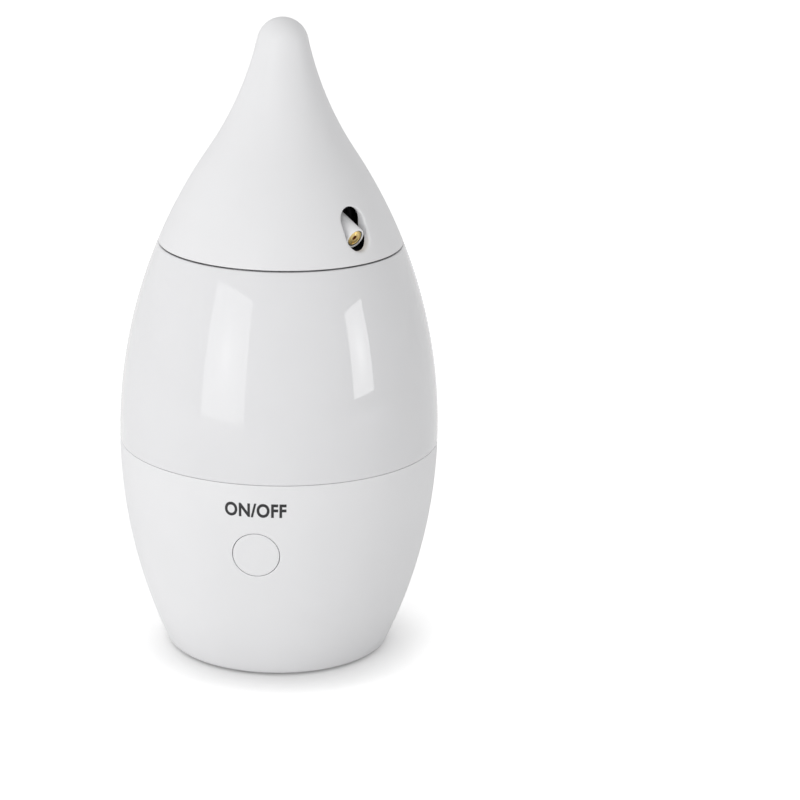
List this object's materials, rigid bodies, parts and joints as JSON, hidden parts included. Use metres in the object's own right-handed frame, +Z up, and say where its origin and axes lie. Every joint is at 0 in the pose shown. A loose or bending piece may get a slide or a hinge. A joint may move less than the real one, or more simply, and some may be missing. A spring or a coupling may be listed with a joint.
{
  "type": "automatic cat laser toy",
  "caption": "Free-standing egg-shaped cat laser toy: a teardrop head turns without limit on the body and laser barrels tilt in their windows; push button and battery door below.",
  "frame": {"origin": "middle of the footprint, on the floor under the rubber feet", "axes": "+Z up along the axis that the head turns about; the power button faces -Y"},
  "size_m": [0.11, 0.11, 0.2198],
  "materials": {
    "satin_white_shell": "satin moulded ABS, fine even texture",
    "gloss_white_shell": "polished moulded ABS",
    "white_cover": "fine spark-eroded texture",
    "black_inner_plastic": "dark moulded ABS",
    "white_barrel": "smooth satin moulding",
    "gear_plastic": "natural acetal",
    "dark_inner_plastic": "dark moulded plastic",
    "washer_plastic": "smooth low-friction plastic",
    "foot_rubber": "soft matt rubber",
    "bright_steel": "nickel-plated",
    "motor_steel": "drawn steel can",
    "contact_brass": "bright",
    "laser_brass": "turned",
    "cell_wrap": "plain printed wrap",
    "board_green": "solder mask over glass fibre board",
    "chip_black": "moulded",
    "sleeve_black": "shrunk sleeve",
    "lens_glass": "clear, dark behind"
  },
  "bodies": {
    "base": {"lower_shell": "satin_white_shell", "upper_shell": "gloss_white_shell", "bottom_cover": "white_cover", "rubber_feet": "foot_rubber", "base_screws": "bright_steel", "body_screws": "bright_steel", "battery_cells": "cell_wrap", "well_contacts": "bright_steel", "well_springs": "bright_steel", "main_board": "board_green", "board_parts": "chip_black", "board_screws": "bright_steel", "switch_board": "board_green", "push_switch": "dark_inner_plastic", "motor_deck": "black_inner_plastic", "deck_screws": "bright_steel", "spin_motor": "motor_steel", "spin_motor_screws": "bright_steel", "spindle_bush": "gear_plastic", "thrust_washer": "washer_plastic", "brush_holder": "dark_inner_plastic", "holder_screws": "bright_steel", "brushes": "contact_brass"},
    "power_button": {"power_button": "satin_white_shell", "switch_plunger": "dark_inner_plastic"},
    "battery_door": {"battery_door": "white_cover", "door_screw": "bright_steel", "door_contacts": "bright_steel", "door_springs": "bright_steel"},
    "spin_pinion": {"spin_shaft": "bright_steel", "spin_pinion": "gear_plastic"},
    "head": {"turntable": "black_inner_plastic", "spin_gear": "gear_plastic", "gear_screws": "bright_steel", "retaining_clip": "bright_steel", "slip_ring_drum": "dark_inner_plastic", "slip_ring_bands": "contact_brass", "head_shell": "satin_white_shell", "head_screws": "bright_steel", "laser_cradle": "black_inner_plastic", "cradle_screws": "bright_steel", "tilt_motor": "motor_steel", "motor_strap": "black_inner_plastic", "strap_screws": "bright_steel", "head_board": "board_green", "head_board_screws": "bright_steel"},
    "tilt_pinion": {"tilt_shaft": "bright_steel", "tilt_pinion": "gear_plastic"},
    "laser_1": {"laser_1_holder": "white_barrel", "laser_1_pivot_pin": "bright_steel", "laser_1_sleeve": "sleeve_black", "laser_1_module": "laser_brass", "laser_1_lens_nut": "laser_brass", "laser_1_lens": "lens_glass"},
    "laser_2": {"laser_2_holder": "white_barrel", "laser_2_pivot_pin": "bright_steel", "laser_2_sleeve": "sleeve_black", "laser_2_module": "laser_brass", "laser_2_lens_nut": "laser_brass", "laser_2_lens": "lens_glass"}
  },
  "joints": [
    {"name": "head_spin", "type": "hinge", "parent": "base", "child": "head", "pos_m": [0, 0, 0.1435], "axis": [0, 0, 1], "continuous": true},
    {"name": "spin_pinion_spin", "type": "hinge", "parent": "base", "child": "spin_pinion", "pos_m": [0.0288, 0, 0.1365], "axis": [0, 0, 1], "continuous": true},
    {"name": "laser_1_tilt", "type": "hinge", "parent": "head", "child": "laser_1", "pos_m": [0.01726, -0.01428, 0.1568], "axis": [0.6374, 0.7705, 0], "range_deg": [-20, 2]},
    {"name": "laser_2_tilt", "type": "hinge", "parent": "head", "child": "laser_2", "pos_m": [-0.01726, 0.01428, 0.1568], "axis": [0.6374, 0.7705, 0], "range_deg": [-20, 2]},
    {"name": "tilt_pinion_spin", "type": "hinge", "parent": "head", "child": "tilt_pinion", "pos_m": [0, 0, 0.1568], "axis": [0.6374, 0.7705, 0], "range_deg": [-7.5, 73.5]},
    {"name": "power_button_press", "type": "slide", "parent": "base", "child": "power_button", "axis": [0, 1, 0], "range_m": [0, 0.0012], "stiffness_N_per_m": 400, "springref_m": -0.0015},
    {"name": "battery_door_lift", "type": "slide", "parent": "base", "child": "battery_door", "axis": [0, 0, -1], "range_m": [0, 0.012]}
  ],
  "couplings": [
    {"joint": "spin_pinion_spin", "follows": "head_spin", "ratio": -5},
    {"joint": "laser_2_tilt", "follows": "laser_1_tilt", "ratio": 1},
    {"joint": "tilt_pinion_spin", "follows": "laser_1_tilt", "ratio": -3.6667}
  ]
}
